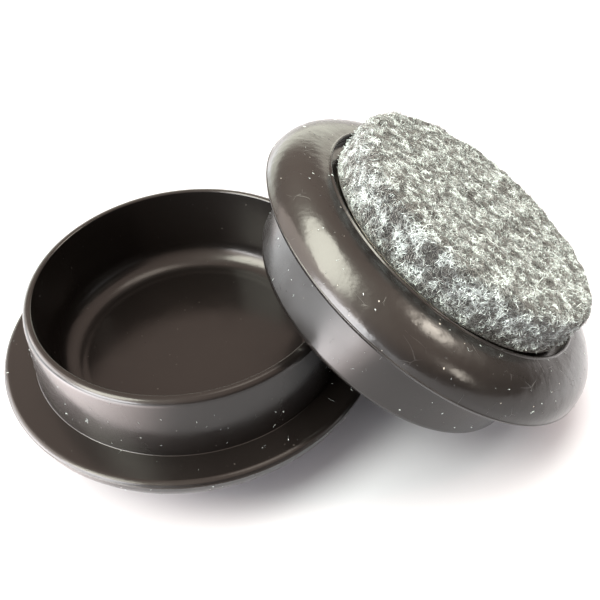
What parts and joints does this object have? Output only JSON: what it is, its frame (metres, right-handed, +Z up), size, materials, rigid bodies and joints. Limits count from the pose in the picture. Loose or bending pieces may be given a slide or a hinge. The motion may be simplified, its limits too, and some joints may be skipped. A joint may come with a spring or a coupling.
{
  "type": "caster cup",
  "caption": "Round brown plastic furniture caster cup with a flange, a domed bowl and a grey felt foot; a matching cup leans upside down across its rim.",
  "frame": {"origin": "centre of the standing cup's felt underside, on the floor", "axes": "+Z up along the standing cup's axis, out of its well; +X towards the leaning cup"},
  "size_m": [0.0938, 0.06, 0.0443],
  "materials": {
    "plastic": "dark chocolate brown moulded plastic, satin gloss with fine scuffs and dust",
    "felt": "heather grey pressed felt of pale and charcoal fibres, fuzzy",
    "film": "thin translucent double-sided adhesive film"
  },
  "bodies": {
    "standing_cup": {"standing_cup_shell": "plastic", "standing_adhesive_film": "film", "standing_felt_pad": "felt"},
    "leaning_cup": {"leaning_cup_shell": "plastic", "leaning_adhesive_film": "film", "leaning_felt_pad": "felt"}
  },
  "joints": [
    {"name": "leaning_cup_lift", "type": "slide", "parent": "standing_cup", "child": "leaning_cup", "axis": [0, 0, 1], "range_m": [0, 0.04]}
  ]
}
